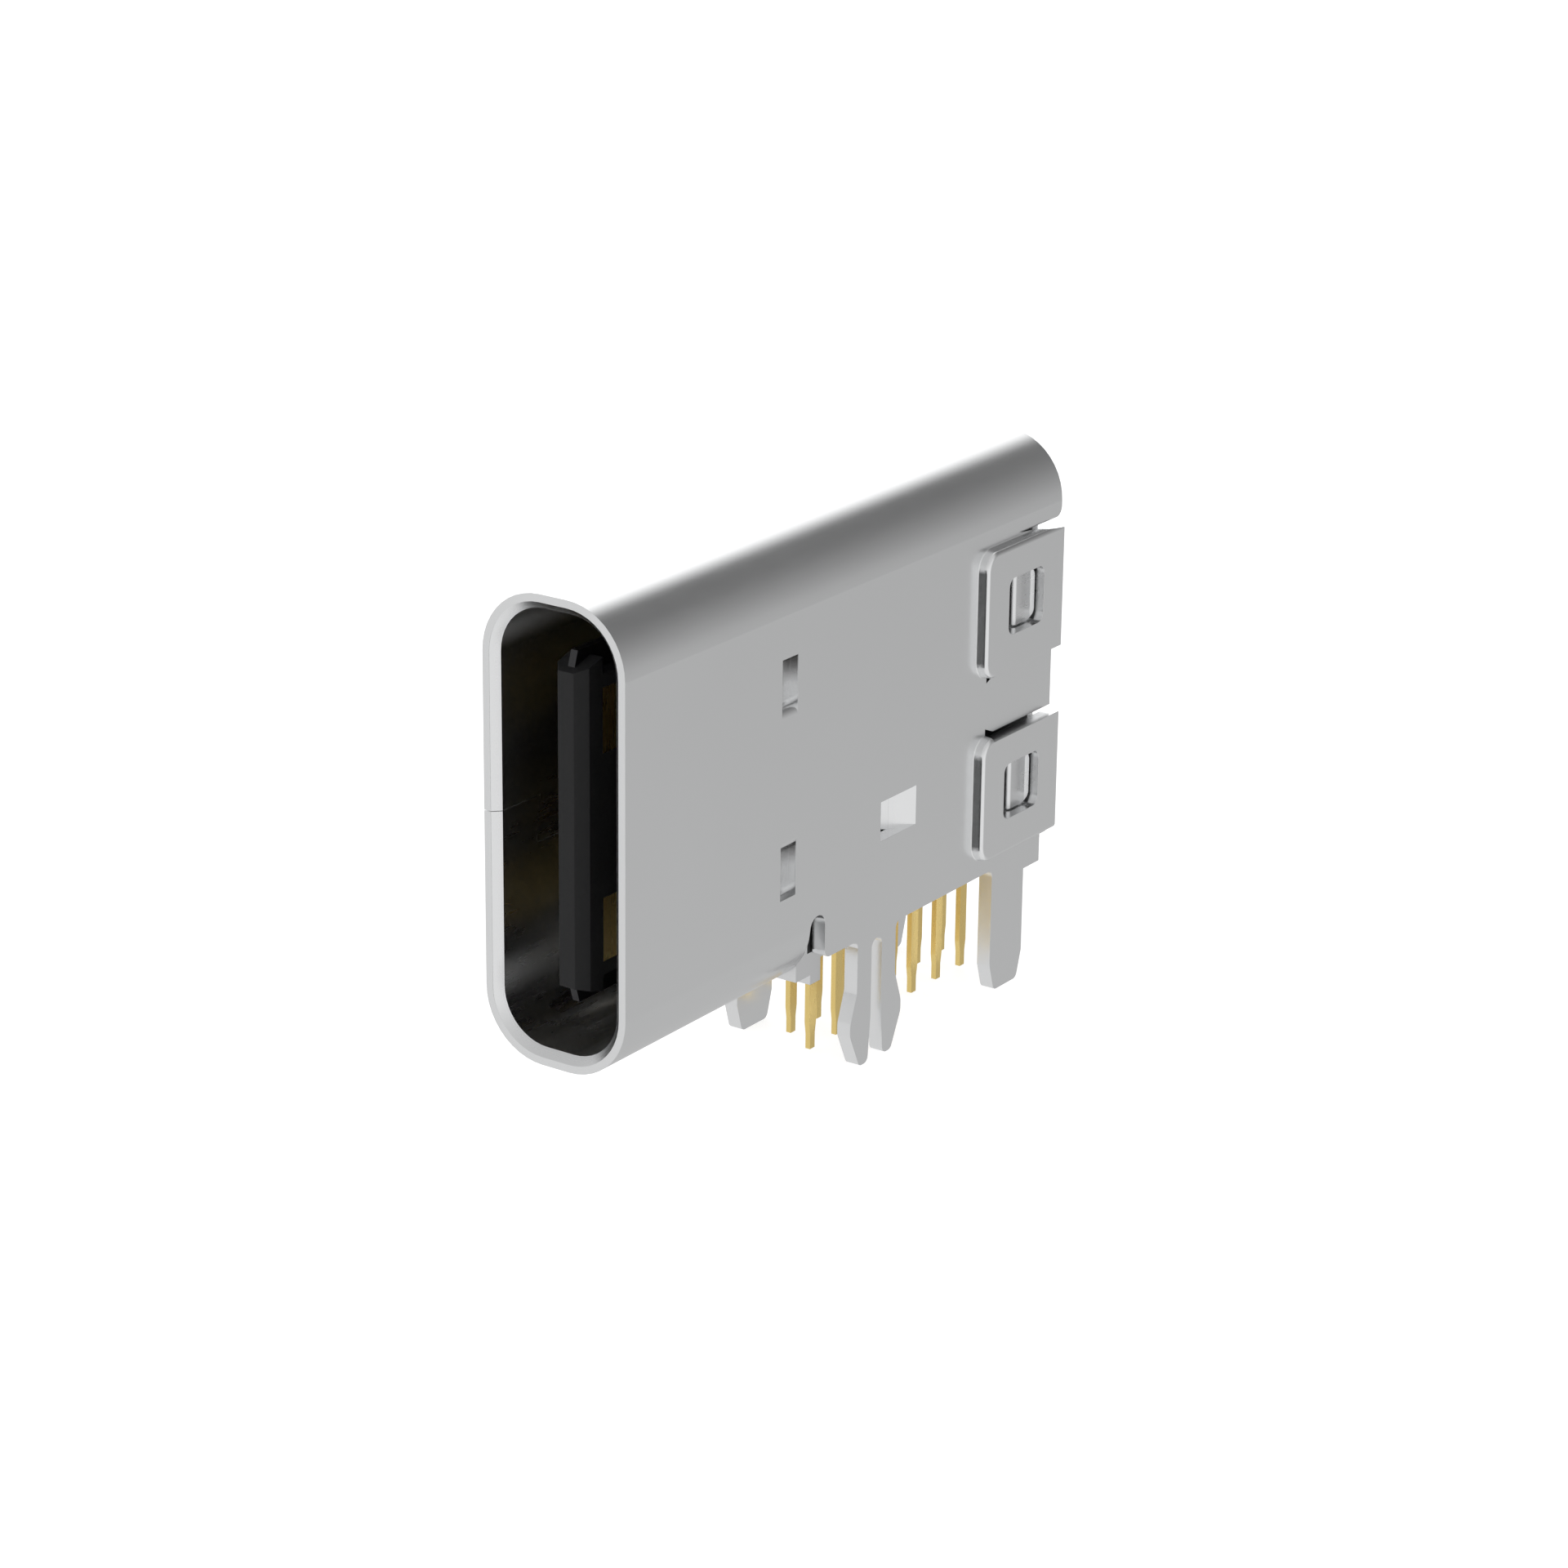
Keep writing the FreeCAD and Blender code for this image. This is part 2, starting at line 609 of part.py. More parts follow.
def seam(body):
    """Rolled seam in the -X wall with a dovetail key."""
    half = s.seam_gap / 2
    path = (
        (-s.seam_gap, s.seam_high),
        (s.key_front + s.key_neck, s.seam_high),
        (s.key_front, s.seam_step),
        (s.key_back, s.seam_step),
        (s.key_back - s.key_neck, s.seam_high),
        (s.slit_front + half, s.seam_high),
    )
    lower = [(y, z - half) for y, z in path]
    upper = [(y, z + half) for y, z in path]
    lower[1] = (lower[1][0] - half, lower[1][1])
    lower[2] = (lower[2][0] - half, lower[2][1])
    lower[3] = (lower[3][0] + half, lower[3][1])
    lower[4] = (lower[4][0] + half, lower[4][1])
    upper[1] = (upper[1][0] + half, upper[1][1])
    upper[2] = (upper[2][0] + half, upper[2][1])
    upper[3] = (upper[3][0] - half, upper[3][1])
    upper[4] = (upper[4][0] - half, upper[4][1])
    sketch = new_sketch(body, "YZ_Plane", -HALF - s.shear)
    polygon(sketch, lower + upper[::-1])
    pocket(body, sketch, s.wall + s.shear + s.shear, flip=True)


def lead_in(body):
    inside = TOP - s.wall
    sketch = new_sketch(body, "XZ_Plane")
    wide = INNER + s.lead_wide
    high = inside + s.lead_wide
    rounded_box(sketch, -wide, wide, -high, high, s.tube_round - s.wall + s.lead_wide)
    pocket(body, sketch, s.lead_deep + s.shear, taper=s.lead_slant)


def lance(side, end):
    """A strip sheared on two sides and pressed inwards."""
    body = new_body("lance")
    flat = HALF - s.lance_deep
    profile = (
        (HALF, s.lance_far),
        (flat, s.lance_flat_far),
        (flat + s.lance_rise, s.lance_flat_near),
        (HALF, s.lance_lip),
        (HALF, s.lance_near),
    )
    outer = [(side * x, end * z) for x, z in profile]
    inner = [(side * (x - s.wall), end * z) for x, z in reversed(profile)]
    sketch = new_sketch(body, "XZ_Plane", -s.lance_front)
    polygon(sketch, outer + inner)
    pad(body, sketch, s.lance_back - s.lance_front, flip=True)
    round_corners(body, 1, [outer[1], outer[2], inner[2], inner[3]], s.lance_bend)
    round_corners(body, 1, [outer[3], inner[1]], s.lance_roll)
    return body


def retention_tab(side):
    """A tab bent in from the back edge of its window."""
    body = new_body("retention_tab")
    along_x = s.tab_long * sine(s.tab_angle)
    along_y = s.tab_long * cosine(s.tab_angle)
    thick_x = s.wall * cosine(s.tab_angle)
    thick_y = s.wall * sine(s.tab_angle)
    hinge = s.tab_back + s.wall * sine(s.tab_angle / 2) / cosine(s.tab_angle / 2)
    tip = (HALF - along_x, s.tab_back - along_y)
    profile = (
        (HALF, hinge),
        (HALF, s.tab_back),
        tip,
        (tip[0] - thick_x, tip[1] + thick_y),
        (INNER, hinge),
    )
    sketch = new_sketch(body, "XY_Plane", s.tab_low)
    polygon(sketch, [(side * x, y) for x, y in profile])
    pad(body, sketch, s.tab_high - s.tab_low)
    return body


def outer_shell():
    body = new_body("shell_sheet")
    tube(body)
    lead_in(body)
    slot_and_skirts(body)
    pads(body)
    middle_tongue(body)
    back_edges(body)
    windows(body)
    seam(body)
    strips = [lance(side, end) for side in (1, -1) for end in (1, -1)]
    strips += [retention_tab(side) for side in (1, -1)]
    joined = doc.addObject("Part::MultiFuse", "outer_shell")
    joined.Shapes = [body] + strips
    joined.Refine = True
    return finish(joined, "outer_shell")


# Rear cover

def arm(body, side, middle):
    """An arm bent forward from the back plate, with its lug."""
    half = s.arm_high / 2
    out = s.arm_wide / 2
    bare = out - s.cover_thick
    front_face = s.cover_back - s.cover_thick
    root = s.cover_wide / 2 - s.cover_thick
    sketch = new_sketch(body, "XY_Plane", middle - half)
    profile = (
        (root, front_face),
        (root, s.cover_back),
        (out, s.cover_back),
        (out, s.arm_front),
        (bare, s.arm_front),
        (bare, front_face),
    )
    polygon(sketch, [(side * x, y) for x, y in profile])
    pad(body, sketch, s.arm_high)
    round_corners(body, 2, [(side * out, s.cover_back)], s.arm_bend)


def lug(body, side, middle):
    half = s.window_high / 2
    out = s.arm_wide / 2
    plateau = out + s.lug_rise
    ridge = out + s.ridge_rise
    root = out - s.cover_thick / 2
    sketch = new_sketch(body, "YZ_Plane", wall_start(side, out - s.cover_thick - s.shear, THROUGH))
    polygon(sketch, box_corners(s.lug_slot, s.lug_front, middle - half, middle + half))
    pocket(body, sketch, THROUGH, flip=True)
    height = half - s.lug_gap
    sketch = new_sketch(body, "XY_Plane", middle - height)
    profile = (
        (root, s.lug_front),
        (plateau, s.lug_front),
        (plateau, s.ridge_front),
        (ridge, s.lug_back),
        (root, s.lug_back),
    )
    polygon(sketch, [(side * x, y) for x, y in profile])
    pad(body, sketch, height * 2)
    nose = [(side * plateau, s.lug_front)]
    fillet(body, [name for name in edges_along(body.Shape, 2, nose)
                  if abs(body.Shape.getElement(name).CenterOfMass.z - number(middle)) < number(half)],
           s.lug_nose)
    ends = [(s.lug_back, middle - height), (s.lug_back, middle + height)]
    fillet(body, [name for name in edges_along(body.Shape, 0, ends)
                  if side * body.Shape.getElement(name).CenterOfMass.x > 0], s.lug_round)


def rear_cover():
    body = new_body("rear_cover")
    half = s.cover_wide / 2
    sketch = new_sketch(body, "XZ_Plane", s.cover_thick - s.cover_back)
    polygon(sketch, box_corners(-half, half, s.cover_low, s.cover_high))
    pad(body, sketch, s.cover_thick, flip=True)
    round_corners(body, 1, [(-half, s.cover_high), (half, s.cover_high)], s.cover_round)
    for side in (1, -1):
        for middle in (s.upper_window, s.lower_window):
            arm(body, side, middle)
            lug(body, side, middle)
    return finish(body, "rear_cover")


# Moulded pieces

def tongue(body):
    sketch = new_sketch(body, "YZ_Plane")
    side = (
        (s.tongue_front, s.tip_half),
        (s.bar_back, s.bar_half),
        (s.bar_back, s.tongue_half),
        (s.base_front + s.join, s.tongue_half),
    )
    polygon(sketch, list(side) + [(y, -z) for y, z in reversed(side)])
    pad(body, sketch, s.tongue_thick, both=True)
    for way in (1, -1):
        half = s.tongue_thick / 2
        sketch = new_sketch(body, "XY_Plane")
        polygon(sketch, (
            (way * s.tongue_nose / 2, s.tongue_front),
            (way * half, s.nose_back),
            (way * (half + s.join), s.nose_back),
            (way * (half + s.join), s.tongue_front - s.join),
            (way * s.tongue_nose / 2, s.tongue_front - s.join),
        ))
        pocket(body, sketch, s.tube_high, both=True)


def body_block(body):
    half = s.body_wide / 2
    sketch = new_sketch(body, "XZ_Plane", -s.body_front)
    polygon(sketch, box_corners(-half, half, s.body_low, s.body_high))
    pad(body, sketch, s.body_back - s.body_front, flip=True)
    round_corners(body, 1, [(-half, s.body_high), (half, s.body_high)], s.body_round)
    sketch = new_sketch(body, "XZ_Plane", -s.base_front)
    thick = s.base_thick / 2
    rounded_box(sketch, -thick, thick, -s.base_half, s.base_half, s.base_round)
    pad(body, sketch, s.body_front - s.base_front + s.join, flip=True)


def hollows(body):
    """Pocket for the contact carriers and the recesses the retention tabs drop into."""
    sketch = new_sketch(body, "YZ_Plane")
    polygon(sketch, box_corners(s.carrier_front, s.carrier_back, s.cut_under, s.carrier_high))
    pocket(body, sketch, s.carrier_face * 2, both=True)
    round_corners(body, 0, [(s.carrier_front, s.carrier_high), (s.carrier_back, s.carrier_high)],
                  s.carrier_round)
    for side in (1, -1):
        sketch = new_sketch(body, "YZ_Plane", side * s.recess_floor)
        low = s.tab_low - s.recess_room
        high = s.tab_high + s.recess_room
        polygon(sketch, box_corners(s.recess_front, s.recess_back, low, high))
        pocket(body, sketch, s.body_wide, flip=side > 0)


def housing(inserts):
    body = new_body("housing_block")
    body_block(body)
    tongue(body)
    hollows(body)
    return moulded_round(body, inserts, "housing")


def moulded_round(body, inserts, name):
    """Take the inserts out of a moulded block."""
    finish(body, f"{name}_block")
    group = doc.addObject("Part::Compound", f"{name}_inserts")
    group.Links = inserts
    cut = doc.addObject("Part::Cut", name)
    cut.Base = body
    cut.Tool = group
    cut.Refine = True
    cut.Label = name
    return cut


def carrier(side, contacts, name):
    body = new_body(f"{name}_block")
    sketch = new_sketch(body, "YZ_Plane")
    polygon(sketch, box_corners(s.carrier_front, s.carrier_back, s.body_low, s.carrier_high))
    pad(body, sketch, s.carrier_face, flip=side < 0)
    round_corners(body, 0, [(s.carrier_front, s.carrier_high), (s.carrier_back, s.carrier_high)],
                  s.carrier_round)
    return moulded_round(body, contacts, name)


def tail_organizer():
    body = new_body("tail_organizer")
    sketch = new_sketch(body, "YZ_Plane")
    polygon(sketch, (
        (s.foot_front, s.foot_high),
        (s.foot_front, s.foot_low),
        (s.foot_step, s.foot_low),
        (s.foot_step, s.seat_low),
        (s.foot_back, s.seat_low),
        (s.foot_back, s.comb_low),
        (s.comb_back, s.comb_low),
        (s.comb_back, s.body_low),
        (s.body_front, s.body_low),
        (s.body_front, s.foot_high),
    ))
    pad(body, sketch, s.foot_wide, both=True)
    room = s.comb_gap
    for side, front in ((1, s.tail_front_a), (-1, s.tail_front_b)):
        faces = sorted((side * (s.tail_face + room), side * (s.tail_face - s.contact_thick - room)),
                       key=number)
        sketch = new_sketch(body, "XY_Plane", s.body_low)
        polygon(sketch, box_corners(faces[0], faces[1], front - room, front + s.tail_wide + room))
        slot = pocket(body, sketch, s.body_low - s.comb_low)
        row = body.newObject("PartDesign::LinearPattern", "tail_slots")
        row.Originals = [slot]
        row.Direction = (sketch, ["V_Axis"])
        row.setExpression("Length", (s.tail_pitch * (TAILS - 1)).text)
        row.Occurrences = TAILS
        body.Tip = row
        doc.recompute()
    return finish(body, "tail_organizer")


# Stamped inserts

def mid_plate():
    body = new_body("mid_plate")
    sketch = new_sketch(body, "YZ_Plane")
    side = (
        (s.plate_front, s.tip_half),
        (s.plate_shoulder, s.plate_half),
        (s.ear_back, s.plate_half),
        (s.ear_back, s.notch_half),
        (s.notch_back, s.notch_half),
        (s.notch_back, s.plate_half),
        (s.plate_step, s.plate_half),
        (s.plate_step, s.plate_waist),
        (s.plate_back, s.plate_waist),
    )
    polygon(sketch, list(side) + [(y, -z) for y, z in reversed(side)])
    pad(body, sketch, s.plate_thick, both=True)
    return finish(body, "mid_plate")


def emi_plate(side, name):
    body = new_body(name)
    sketch = new_sketch(body, "YZ_Plane", wall_start(side, s.emi_face - s.emi_thick, s.emi_thick))
    polygon(sketch, box_corners(s.emi_front, s.emi_back, -s.emi_half, s.emi_half))
    pad(body, sketch, s.emi_thick)
    round_corners(body, 0, [(s.emi_front, -s.emi_half), (s.emi_front, s.emi_half)], s.emi_round)
    return finish(body, name)


def tail_outline(front):
    """The lower end of a tail, from its front top corner round to its back top corner."""
    inset = (s.tail_wide - s.tail_point) / 2
    back = front + s.tail_wide
    return [
        (front, s.tail_taper_top),
        (front + inset, s.tail_taper_low),
        (front + inset, s.tail_low),
        (back - inset, s.tail_low),
        (back - inset, s.tail_taper_low),
        (back, s.tail_taper_top),
    ]


def contact(side, name, front, low, high, tails):
    """A flat stamped contact: blade on the tongue, turn inside the body, tails below."""
    body = new_body(name)
    turn = tails[0]
    back = tails[-1] + s.tail_wide
    corners = [(front, high), (front, low), (turn, low)]
    for k, tail in enumerate(tails):
        if k:
            corners.append((tails[k - 1] + s.tail_wide, s.split_top))
            corners.append((tail, s.split_top))
        corners += tail_outline(tail)
    corners.append((back, high))
    skin = s.blade_face - s.contact_thick
    sketch = new_sketch(body, "YZ_Plane", wall_start(side, skin, s.tail_face - skin))
    polygon(sketch, corners)
    pad(body, sketch, s.tail_face - skin)
    over = s.tail_face + s.join
    sketch = new_sketch(body, "XY_Plane")
    polygon(sketch, [(side * x, y) for x, y in (
        (s.blade_face, s.lance_front - s.base_front),
        (s.blade_face, s.jog_front),
        (s.tail_face, s.jog_back),
        (over, s.jog_back),
        (over, s.lance_front - s.base_front),
    )])
    pocket(body, sketch, s.tube_high * 2, both=True)
    root = s.tail_face - s.contact_thick
    sketch = new_sketch(body, "XY_Plane")
    polygon(sketch, [(side * x, y) for x, y in (
        (skin, s.jog_front),
        (root, s.jog_back),
        (root, s.tube_back),
        (skin - s.join, s.tube_back),
        (skin - s.join, s.jog_front),
    )])
    pocket(body, sketch, s.tube_high * 2, both=True)
    return finish(body, name)


def contact_row(side, letter, first):
    """Two wide power contacts with twin tails and three signal contacts between them."""
    tails = [first + s.tail_pitch * k for k in range(TAILS)]
    half = s.signal_wide / 2
    row = [contact(side, f"contact_{letter}1", s.power_front, -s.power_far, -s.power_near, tails[0:2])]
    for k in range(3):
        middle = side * s.signal_shift + s.signal_pitch * (k - 1)
        row.append(contact(side, f"contact_{letter}{k + 2}", s.signal_front,
                           middle - half, middle + half, tails[k + 2:k + 3]))
    row.append(contact(side, f"contact_{letter}5", s.power_front, s.power_near, s.power_far, tails[5:7]))
    return row


def write(pieces):
    doc.recompute()
    for item in doc.Objects:
        if "Invalid" in item.State or "Error" in item.State:
            raise RuntimeError(f"{item.Name} is {item.State}")
    for piece in pieces:
        shape = piece.Shape
        if shape.isNull() or not shape.isValid() or len(shape.Solids) != 1:
            raise RuntimeError(f"{piece.Label}: {len(shape.Solids)} solids, valid {shape.isValid()}")
        shape.exportStep(f"parts/{piece.Label}.step")
        print(piece.Label, round(shape.Volume, 4))


row_a = contact_row(1, "a", s.tail_front_a)
row_b = contact_row(-1, "b", s.tail_front_b)
plate = mid_plate()
shields = [emi_plate(1, "emi_plate_a"), emi_plate(-1, "emi_plate_b")]
moulded = [
    housing([plate] + shields + row_a + row_b),
    carrier(1, row_a, "carrier_a"),
    carrier(-1, row_b, "carrier_b"),
    tail_organizer(),
]
write([outer_shell(), rear_cover(), plate] + moulded + shields + row_a + row_b)
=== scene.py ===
import json
import math

import bpy
from mathutils import Matrix, Vector


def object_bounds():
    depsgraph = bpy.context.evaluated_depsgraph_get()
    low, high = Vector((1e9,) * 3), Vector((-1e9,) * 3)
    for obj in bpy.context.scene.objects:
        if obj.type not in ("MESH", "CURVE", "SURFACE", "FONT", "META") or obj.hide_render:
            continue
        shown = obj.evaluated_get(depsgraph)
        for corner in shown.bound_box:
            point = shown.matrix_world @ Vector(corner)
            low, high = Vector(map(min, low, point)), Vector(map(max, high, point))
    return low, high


MM = 0.001

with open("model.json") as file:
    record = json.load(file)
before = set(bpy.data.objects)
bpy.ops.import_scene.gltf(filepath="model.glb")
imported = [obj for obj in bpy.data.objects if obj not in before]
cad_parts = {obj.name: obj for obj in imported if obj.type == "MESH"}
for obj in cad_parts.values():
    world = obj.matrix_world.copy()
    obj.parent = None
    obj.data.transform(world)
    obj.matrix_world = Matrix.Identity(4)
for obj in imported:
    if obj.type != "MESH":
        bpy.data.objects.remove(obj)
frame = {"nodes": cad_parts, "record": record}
cad_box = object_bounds()
nodes = frame["nodes"]


# Places on the shell in millimetres. A band is (low, high, softness of its ends).

MOUTH_FRONT = -6.48
MOUTH_MIDDLE = 4.60
CORE_WIDE = 0.30
CORE_TALL = 3.19
BORE_EDGE = (1.00, 1.10)
# Two height bands in the bore made less metallic so they show as bright streaks: painted sheen.
SHEEN_STREAK_BANDS = ((1.35, 1.85, 0.25), (8.00, 8.40, 0.20))
PAD_ROWS = ((0.80, 3.58, 0.02), (4.80, 7.60, 0.02))
PAD_RISE = (1.57, 1.72, 0.004)
PAD_FRONT = (4.78, 4.80)
# Where the painted shade in each lance pocket lies; it fades in along the height, darkest at the top.
POCKET_SHADE_FADES = ((6.30, 6.95), (2.75, 3.40))
POCKET_ROWS = ((6.20, 7.00, 0.01), (2.65, 3.44, 0.01))
POCKET_LENGTH = (-1.70, -1.16, 0.01)
POCKET_DEPTH = (1.20, 1.56, 0.01)


# Small helpers for shader graphs

class Graph:
    """Adds nodes to one tree and links them by name."""

    def __init__(self, tree):
        self.tree = tree
        tree.nodes.clear()

    def add(self, kind, **values):
        node = self.tree.nodes.new(kind)
        for key, value in values.items():
            setattr(node, key, value)
        return node

    def set(self, socket, value):
        """Links an output to the socket, or writes a plain value on it."""
        if isinstance(value, bpy.types.NodeSocket):
            self.tree.links.new(value, socket)
        else:
            socket.default_value = value

    def math(self, operation, first, second=0.0):
        node = self.add("ShaderNodeMath", operation=operation)
        self.set(node.inputs[0], first)
        self.set(node.inputs[1], second)
        return node.outputs[0]

    def total(self, *values):
        result = values[0]
        for value in values[1:]:
            result = self.math("ADD", result, value)
        return result

    def product(self, *values):
        result = values[0]
        for value in values[1:]:
            result = self.math("MULTIPLY", result, value)
        return result

    def span(self, value, low, high, to_low=0.0, to_high=1.0, kind="SMOOTHSTEP"):
        """Step from low to high, level beyond, smooth unless the kind says otherwise."""
        node = self.add("ShaderNodeMapRange", interpolation_type=kind)
        for socket, item in zip(node.inputs, (value, low, high, to_low, to_high)):
            self.set(socket, item)
        return node.outputs[0]

    def dot(self, vector, axis):
        node = self.add("ShaderNodeVectorMath", operation="DOT_PRODUCT")
        self.set(node.inputs[0], vector)
        node.inputs[1].default_value = axis
        return node.outputs["Value"]

    def noise(self, vector, scale, detail=2.0, rough=0.5):
        node = self.add("ShaderNodeTexNoise")
        self.set(node.inputs["Vector"], vector)
        node.inputs["Scale"].default_value = scale
        node.inputs["Detail"].default_value = detail
        node.inputs["Roughness"].default_value = rough
        return node.outputs["Fac"]

    def stretch(self, vector, scale):
        node = self.add("ShaderNodeMapping")
        self.set(node.inputs["Vector"], vector)
        node.inputs["Scale"].default_value = scale
        return node.outputs["Vector"]

    def mix(self, factor, first, second):
        node = self.add("ShaderNodeMix", data_type="RGBA")
        self.set(node.inputs["Factor"], factor)
        self.set(node.inputs["A"], first)
        self.set(node.inputs["B"], second)
        return node.outputs["Result"]


def grey(level):
    return (level, level, level, 1.0)


def finish_material(name, look):
    """A material whose tree is filled by a look function: look(graph, shader, coordinates)."""
    material = bpy.data.materials.new(name)
    material.use_nodes = True
    graph = Graph(material.node_tree)
    shader = graph.add("ShaderNodeBsdfPrincipled")
    output = graph.add("ShaderNodeOutputMaterial")
    place = graph.add("ShaderNodeTexCoord")
    material.node_tree.links.new(shader.outputs[0], output.inputs["Surface"])
    look(graph, shader, place.outputs["Object"])
    return material


def relief(graph, shader, height, depth, rounding=None):
    """Bump, over softened edges where a rounding is given."""
    bump = graph.add("ShaderNodeBump")
    bump.inputs["Strength"].default_value = 1.0
    bump.inputs["Distance"].default_value = depth
    graph.set(bump.inputs["Height"], height)
    if rounding is not None:
        edge = graph.add("ShaderNodeBevel", samples=8)
        graph.set(edge.inputs["Radius"], rounding)
        graph.set(bump.inputs["Normal"], edge.outputs["Normal"])
    graph.set(shader.inputs["Normal"], bump.outputs["Normal"])


def inside(graph, axis, low, high, soft):
    """1 between low and high along one axis, in millimetres."""
    up = graph.span(axis, (low - soft) * MM, (low + soft) * MM)
    down = graph.span(axis, (high - soft) * MM, (high + soft) * MM, 1.0, 0.0)
    return graph.product(up, down)


def core_distance(graph, out, height):
    """Distance from the flat core that the tube is wrapped round: small in the bore, large outside."""
    level = graph.math("ABSOLUTE", graph.math("SUBTRACT", height, MOUTH_MIDDLE * MM))
    wide = graph.math("MAXIMUM", graph.math("SUBTRACT", out, CORE_WIDE * MM))
    tall = graph.math("MAXIMUM", graph.math("SUBTRACT", level, CORE_TALL * MM))
    return graph.math("SQRT", graph.total(graph.product(wide, wide), graph.product(tall, tall)))


def shell_marks(graph, place):
    """Masks of the bore, its two bands of painted sheen, the front feet of the pads and the painted shade
    in each lance pocket.
    """
    split = graph.add("ShaderNodeSeparateXYZ")
    graph.set(split.inputs[0], place)
    across, along, height = split.outputs
    out = graph.math("ABSOLUTE", across)
    bore_low, bore_high = (edge * MM for edge in BORE_EDGE)
    bore = graph.span(core_distance(graph, out, height), bore_low, bore_high, 1.0, 0.0)
    sheen_streaks = graph.product(graph.total(*(inside(graph, height, *band) for band in SHEEN_STREAK_BANDS)), bore)
    front_low, front_high = (edge * MM for edge in PAD_FRONT)
    rows = graph.total(*(inside(graph, height, *row) for row in PAD_ROWS))
    feet = graph.product(inside(graph, out, *PAD_RISE), rows, graph.span(along, front_low, front_high))
    # Painted shade: each lance pocket gets a mask that darkens towards its top, standing in for the shade
    # in the pressed recess.
    painted_pocket_shade = []
    for (fade_low, fade_high), row in zip(POCKET_SHADE_FADES, POCKET_ROWS):
        fade = graph.span(height, fade_low * MM, fade_high * MM)
        painted_pocket_shade.append(graph.product(fade, inside(graph, height, *row)))
    length = inside(graph, along, *POCKET_LENGTH)
    painted_pocket_shade = graph.product(graph.total(*painted_pocket_shade), length, inside(graph, out, *POCKET_DEPTH))
    return bore, sheen_streaks, feet, painted_pocket_shade


def plated_steel(tint, rough, shell=False):
    """Satin plate over rolled sheet: fine grain along the strip, faint clouding."""
    grain_scale = (9000.0, 1500.0, 9000.0)
    cloud_scale = 260.0
    sheared_edge = 0.006 * MM
    pad_foot = 0.035 * MM
    bore_rough = 0.05
    sheen_streak_dull = 0.24
    # Painted shade in each lance pocket: how far the colour goes towards the dark tone, and that tone.
    painted_shade_strength = 0.8
    painted_shade_tone = (0.10, 0.095, 0.09, 1.0)

    def look(graph, shader, place):
        grain = graph.noise(graph.stretch(place, grain_scale), 1.0, 3.0)
        cloud = graph.noise(place, cloud_scale)
        light = [min(1.0, channel * 1.01) for channel in tint] + [1.0]
        dark = [channel * 0.985 for channel in tint] + [1.0]
        tone = graph.mix(cloud, tuple(dark), tuple(light))
        spread = graph.span(cloud, 0.3, 0.7, rough - 0.015, rough + 0.015)
        level = graph.total(spread, graph.span(grain, 0.3, 0.7, -0.01, 0.01))
        rounding = sheared_edge
        if shell:
            bore, sheen_streaks, feet, painted_pocket_shade = shell_marks(graph, place)
            # Painted sheen: the bore bands lose some metallic, so their diffuse part brightens into
            # highlight streaks.
            metal = graph.math("SUBTRACT", 1.0, graph.product(sheen_streaks, sheen_streak_dull))
            graph.set(shader.inputs["Metallic"], metal)
            level = graph.total(level, graph.product(bore, bore_rough))
            plain = graph.product(graph.math("SUBTRACT", 1.0, bore), sheared_edge)
            rounding = graph.total(graph.product(feet, pad_foot), plain)
            # Painted shade: the shell colour is mixed towards a dark tone inside each lance pocket.
            tone = graph.mix(graph.product(painted_pocket_shade, painted_shade_strength), tone, painted_shade_tone)
        else:
            shader.inputs["Metallic"].default_value = 1.0
        graph.set(shader.inputs["Base Color"], tone)
        graph.set(shader.inputs["Roughness"], level)
        relief(graph, shader, grain, 0.00003 * MM, rounding)
    return look


def gold_flash(graph, shader, place):
    """Thin gold over stamped copper, with faint lines down the strip."""
    lines = graph.noise(graph.stretch(place, (16000.0, 16000.0, 1800.0)), 1.0)
    cloud = graph.noise(place, 900.0)
    deep, bright = (0.87, 0.655, 0.245, 1.0), (0.90, 0.685, 0.265, 1.0)
    graph.set(shader.inputs["Base Color"], graph.mix(cloud, deep, bright))
    shader.inputs["Metallic"].default_value = 1.0
    graph.set(shader.inputs["Roughness"], graph.span(lines, 0.3, 0.7, 0.27, 0.29))
    relief(graph, shader, lines, 0.00002 * MM)


def moulded(tint, rough, gloss):
    """Moulded plastic with a fine eroded texture and slight flow marks."""
    def look(graph, shader, place):
        pits = graph.noise(place, 22000.0, 4.0, 0.6)
        flow = graph.noise(graph.stretch(place, (500.0, 160.0, 500.0)), 1.0)
        light = [channel * 1.18 for channel in tint] + [1.0]
        dark = [channel * 0.86 for channel in tint] + [1.0]
        graph.set(shader.inputs["Base Color"], graph.mix(flow, tuple(dark), tuple(light)))
        graph.set(shader.inputs["Roughness"], graph.span(pits, 0.3, 0.7, rough - 0.05, rough + 0.06))
        shader.inputs["Specular IOR Level"].default_value = gloss
        relief(graph, shader, pits, 0.0004 * MM, 0.02 * MM)
    return look


